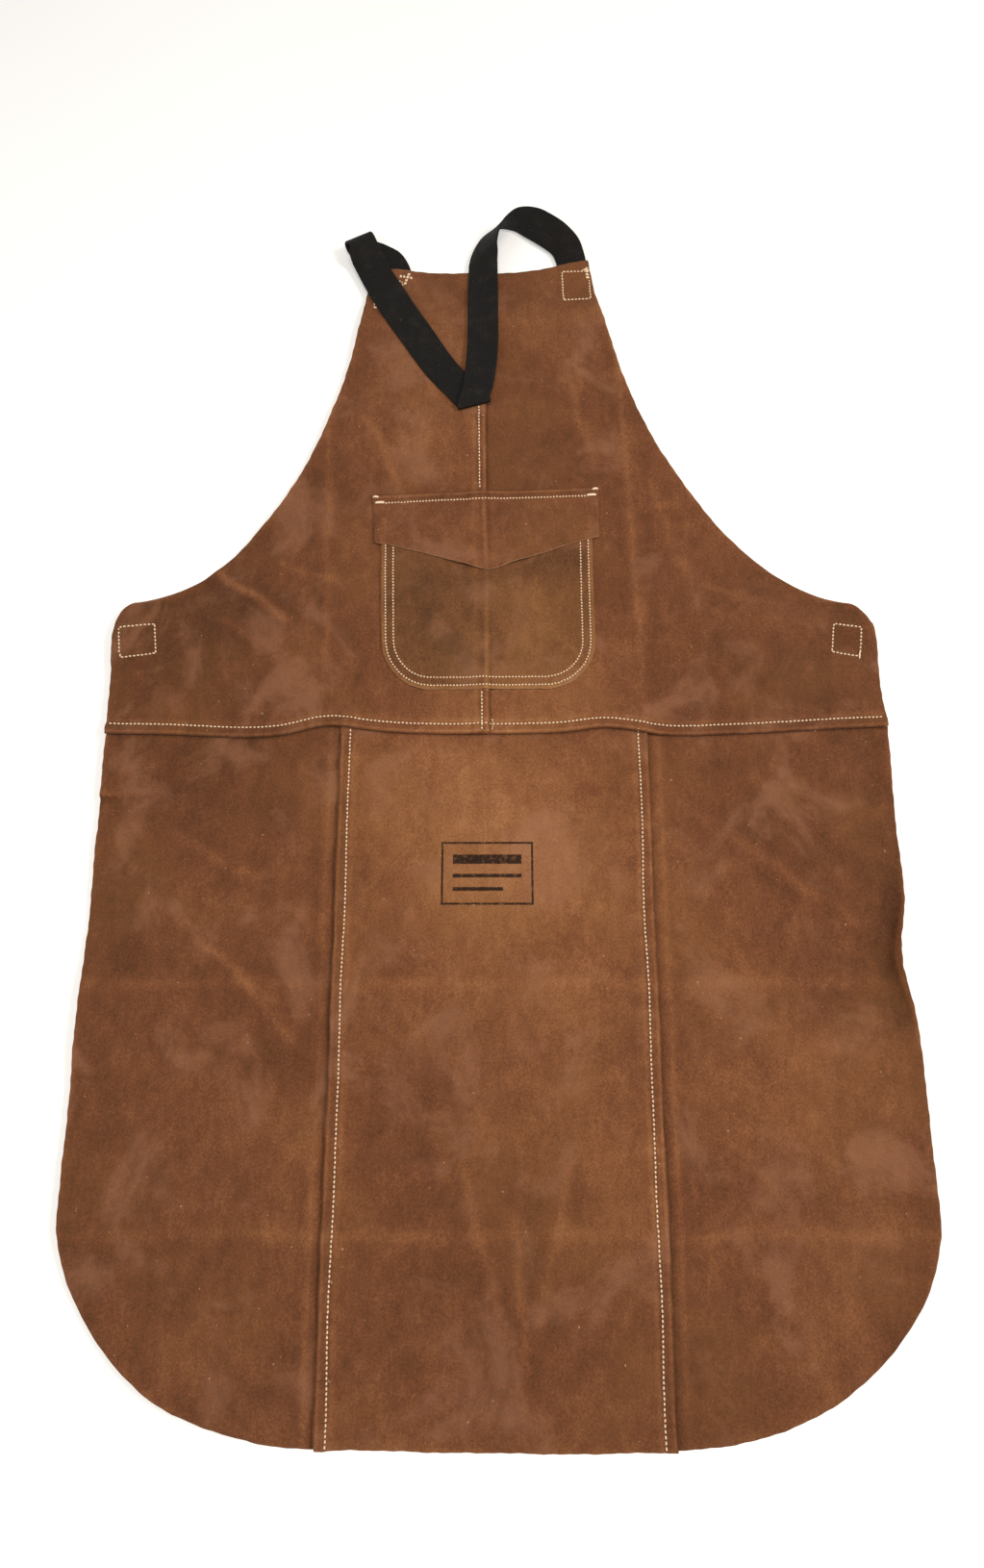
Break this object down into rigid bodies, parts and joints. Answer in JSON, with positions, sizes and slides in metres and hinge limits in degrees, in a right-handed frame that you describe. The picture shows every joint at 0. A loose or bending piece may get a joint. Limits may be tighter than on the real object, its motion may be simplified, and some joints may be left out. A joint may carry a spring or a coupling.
{
  "type": "welding apron",
  "caption": "Split-leather bib apron laid flat, with a three-panel skirt, flapped chest pocket, folded webbing neck strap, and waist straps with a side-release buckle.",
  "frame": {"origin": "middle of the waist seam, on the skirt centre panel's back face that rests on the floor", "axes": "+Y towards the neck, +X across the apron, +Z out of the front face"},
  "size_m": [0.6127, 0.9674, 0.0261],
  "materials": {
    "leather": "suede split leather, matt and napped",
    "webbing": "black woven webbing",
    "thread": "cream sewing thread",
    "buckle_plastic": "moulded, fine texture"
  },
  "bodies": {
    "root": {"skirt_left_panel": "leather", "skirt_centre_panel": "leather", "skirt_right_panel": "leather", "bib_left_panel": "leather", "bib_right_panel": "leather", "pocket_patch": "leather", "pocket_flap_band": "leather", "neck_strap_left_run": "webbing", "neck_strap_right_run": "webbing", "waist_strap_left_tab": "webbing", "waist_strap_right_tab": "webbing", "bib_seam_thread": "thread", "bib_seam_lower_thread": "thread", "waist_seam_thread": "thread", "skirt_left_seam_thread": "thread", "skirt_right_seam_thread": "thread", "pocket_outer_thread": "thread", "pocket_inner_thread": "thread", "flap_topstitch_thread": "thread", "neck_left_box_thread": "thread", "neck_right_box_thread": "thread", "hip_left_box_thread": "thread", "hip_right_box_thread": "thread"},
    "flap": {"pocket_flap": "leather"},
    "neck_loop": {"neck_strap_loop": "webbing"},
    "waist_strap_left_run": {"waist_strap_left": "webbing", "buckle_socket": "buckle_plastic"},
    "waist_strap_right_run": {"waist_strap_right": "webbing", "buckle_plug": "buckle_plastic"}
  },
  "joints": [
    {"name": "pocket_flap_hinge", "type": "hinge", "parent": "root", "child": "flap", "pos_m": [-0.009, 0.2018, 0.0056], "axis": [-0.9995, -0.0332, 0], "range_deg": [0, 150]},
    {"name": "neck_loop_lift", "type": "hinge", "parent": "root", "child": "neck_loop", "pos_m": [-0.06, 0.436, 0.0064], "axis": [-1, 0, 0], "range_deg": [0, 110]},
    {"name": "waist_strap_left_swing", "type": "hinge", "parent": "root", "child": "waist_strap_left_run", "pos_m": [-0.3007, 0.077, 0.0017], "axis": [0, 1, 0], "range_deg": [0, 180]},
    {"name": "waist_strap_right_swing", "type": "hinge", "parent": "root", "child": "waist_strap_right_run", "pos_m": [0.3007, 0.077, 0.0017], "axis": [0, -1, 0], "range_deg": [0, 180]}
  ]
}
